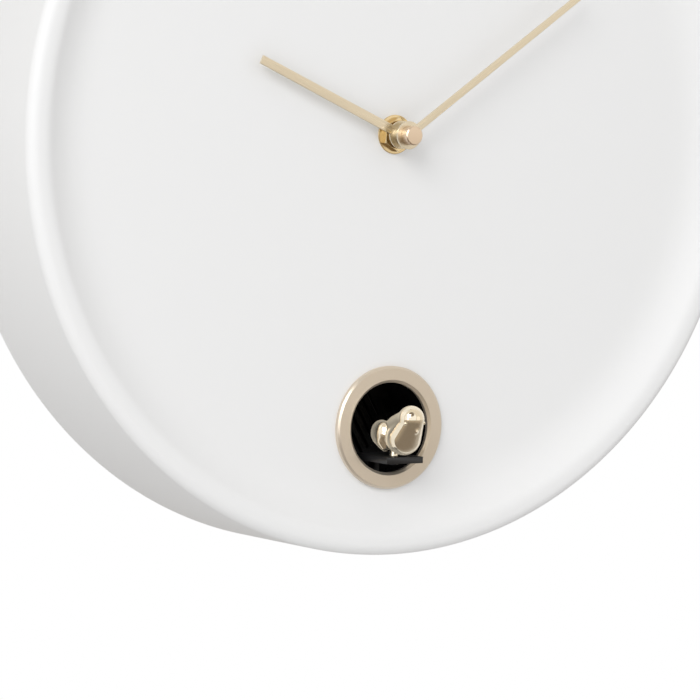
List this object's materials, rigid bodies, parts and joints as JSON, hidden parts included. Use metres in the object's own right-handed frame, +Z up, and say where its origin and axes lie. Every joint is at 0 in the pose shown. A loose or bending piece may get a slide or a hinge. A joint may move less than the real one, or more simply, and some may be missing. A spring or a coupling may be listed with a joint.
{
  "type": "wall cuckoo clock",
  "caption": "Round wall clock with a recessed plain dial, two straight hands and a small bird that slides out of a round window near the bottom.",
  "frame": {"origin": "on the hand axis, in the wall plane that the rear edge of the case rests against", "axes": "+X to the right and +Z up as seen from the front, +Y into the wall"},
  "size_m": [0.3, 0.068, 0.3],
  "materials": {
    "case_white": "fine satin moulded ABS, white",
    "cover_white": "moulded ABS, off-white",
    "niche_black": "moulded ABS, glossy black",
    "sled_black": "moulded acetal, black",
    "champagne": "satin champagne-gold anodised aluminium",
    "gold_metal": "brass plated gold",
    "bird_chrome": "vacuum plated pale gold, mirror bright",
    "steel": "zinc plated steel",
    "gear_white": "acetal, natural white",
    "movement_plastic": "moulded ABS, black",
    "knob_grey": "moulded ABS, grey",
    "board_green": "fibreglass laminate with solder mask",
    "chip_black": "moulded epoxy",
    "copper": "enamelled copper wire",
    "rubber_black": "moulded rubber",
    "felt_white": "felt pad",
    "cone_paper": "pressed paper pulp",
    "magnet_dark": "ferrite",
    "cell_sleeve": "plain grey sleeve",
    "wire_red": "pvc insulation"
  },
  "bodies": {
    "case": {"case_shell": "case_white", "back_cover": "cover_white", "battery_box": "movement_plastic", "cover_screws": "steel", "hanger_plate": "steel", "hanger_screws": "steel", "wall_bumpers": "felt_white", "bezel_ring": "champagne", "niche_tube": "niche_black", "gear_axles": "steel", "motor_can": "steel", "motor_end_cap": "gear_white", "sled_sensor": "chip_black", "movement_front": "movement_plastic", "movement_back": "movement_plastic", "threaded_bushing": "gold_metal", "rubber_washer": "rubber_black", "dial_washer": "gold_metal", "hex_nut": "gold_metal", "stator": "steel", "coil": "copper", "movement_board": "board_green", "movement_chip": "chip_black", "quartz_crystal": "steel", "speaker_frame": "steel", "speaker_magnet": "magnet_dark", "speaker_cone": "cone_paper", "main_board": "board_green", "board_chips": "chip_black", "board_capacitors": "chip_black", "wire_connectors": "gear_white", "switch_body": "steel", "volume_body": "steel", "batteries": "cell_sleeve", "battery_contacts": "steel", "inner_screws": "steel", "movement_wire": "wire_red", "battery_wire": "wire_red", "motor_wire": "wire_red", "speaker_wire": "wire_red"},
    "minute_arbor": {"minute_hand": "champagne", "cap_nut": "gold_metal", "centre_wheel": "gear_white"},
    "hour_arbor": {"hour_hand": "champagne", "hour_wheel": "gear_white"},
    "minute_wheel": {"minute_wheel": "gear_white"},
    "setting_knob": {"setting_knob": "knob_grey"},
    "third_wheel": {"third_wheel": "gear_white"},
    "seconds_wheel": {"seconds_wheel": "gear_white"},
    "fifth_wheel": {"fifth_wheel": "gear_white"},
    "rotor": {"rotor": "magnet_dark"},
    "bird_sled": {"sled": "sled_black", "bird": "bird_chrome", "bird_screw": "steel"},
    "drive_gear": {"drive_gear": "gear_white"},
    "idler_gear": {"idler_gear": "gear_white"},
    "motor_armature": {"motor_armature": "copper"},
    "battery_door": {"battery_door": "cover_white"},
    "sound_switch": {"switch_slider": "knob_grey"},
    "volume_control": {"volume_knob": "knob_grey"}
  },
  "joints": [
    {"name": "minute_hand_turn", "type": "hinge", "parent": "case", "child": "minute_arbor", "pos_m": [0, -0.04, 0], "axis": [0, 1, 0], "continuous": true},
    {"name": "hour_hand_turn", "type": "hinge", "parent": "case", "child": "hour_arbor", "pos_m": [0, -0.04, 0], "axis": [0, 1, 0], "continuous": true},
    {"name": "minute_wheel_turn", "type": "hinge", "parent": "case", "child": "minute_wheel", "pos_m": [-0.00636, -0.04, -0.00636], "axis": [0, 1, 0], "continuous": true},
    {"name": "setting_knob_turn", "type": "hinge", "parent": "case", "child": "setting_knob", "pos_m": [-0.01273, -0.04, -0.01273], "axis": [0, 1, 0], "continuous": true},
    {"name": "third_wheel_turn", "type": "hinge", "parent": "case", "child": "third_wheel", "pos_m": [0.00636, -0.04, 0.00636], "axis": [0, 1, 0], "continuous": true},
    {"name": "seconds_wheel_turn", "type": "hinge", "parent": "case", "child": "seconds_wheel", "pos_m": [0.00035, -0.04, 0.01237], "axis": [0, 1, 0], "continuous": true},
    {"name": "fifth_wheel_turn", "type": "hinge", "parent": "case", "child": "fifth_wheel", "pos_m": [-0.00665, -0.04, 0.01237], "axis": [0, 1, 0], "continuous": true},
    {"name": "rotor_turn", "type": "hinge", "parent": "case", "child": "rotor", "pos_m": [-0.01228, -0.04, 0.01032], "axis": [0, 1, 0], "continuous": true},
    {"name": "bird_slide", "type": "slide", "parent": "case", "child": "bird_sled", "axis": [0, -1, 0], "range_m": [-0.017, 0]},
    {"name": "drive_gear_turn", "type": "hinge", "parent": "case", "child": "drive_gear", "pos_m": [0.003, -0.0245, -0.1315], "axis": [1, 0, 0], "range_deg": [-203.9, 1]},
    {"name": "idler_gear_turn", "type": "hinge", "parent": "case", "child": "idler_gear", "pos_m": [0.008, -0.035, -0.1315], "axis": [1, 0, 0], "range_deg": [-3, 652.4]},
    {"name": "motor_turn", "type": "hinge", "parent": "case", "child": "motor_armature", "pos_m": [0.012, -0.02548, -0.13594], "axis": [1, 0, 0], "range_deg": [-2087.9, 10]},
    {"name": "battery_door_lift", "type": "slide", "parent": "case", "child": "battery_door", "axis": [0, 1, 0], "range_m": [0, 0.02]},
    {"name": "sound_switch_slide", "type": "slide", "parent": "case", "child": "sound_switch", "axis": [1, 0, 0], "range_m": [0, 0.004]},
    {"name": "volume_turn", "type": "hinge", "parent": "case", "child": "volume_control", "pos_m": [-0.082, -0.004, 0], "axis": [0, 1, 0], "range_deg": [-135, 135]}
  ],
  "couplings": [
    {"joint": "hour_hand_turn", "follows": "minute_hand_turn", "ratio": 0.083333},
    {"joint": "minute_wheel_turn", "follows": "minute_hand_turn", "ratio": -0.33333},
    {"joint": "setting_knob_turn", "follows": "minute_hand_turn", "ratio": 1},
    {"joint": "third_wheel_turn", "follows": "minute_hand_turn", "ratio": -8},
    {"joint": "seconds_wheel_turn", "follows": "minute_hand_turn", "ratio": 60},
    {"joint": "fifth_wheel_turn", "follows": "minute_hand_turn", "ratio": -360},
    {"joint": "rotor_turn", "follows": "minute_hand_turn", "ratio": 1800},
    {"joint": "drive_gear_turn", "follows": "bird_slide", "rad_per_m": 208.33},
    {"joint": "idler_gear_turn", "follows": "bird_slide", "rad_per_m": -666.67},
    {"joint": "motor_turn", "follows": "bird_slide", "rad_per_m": 2133.3}
  ]
}
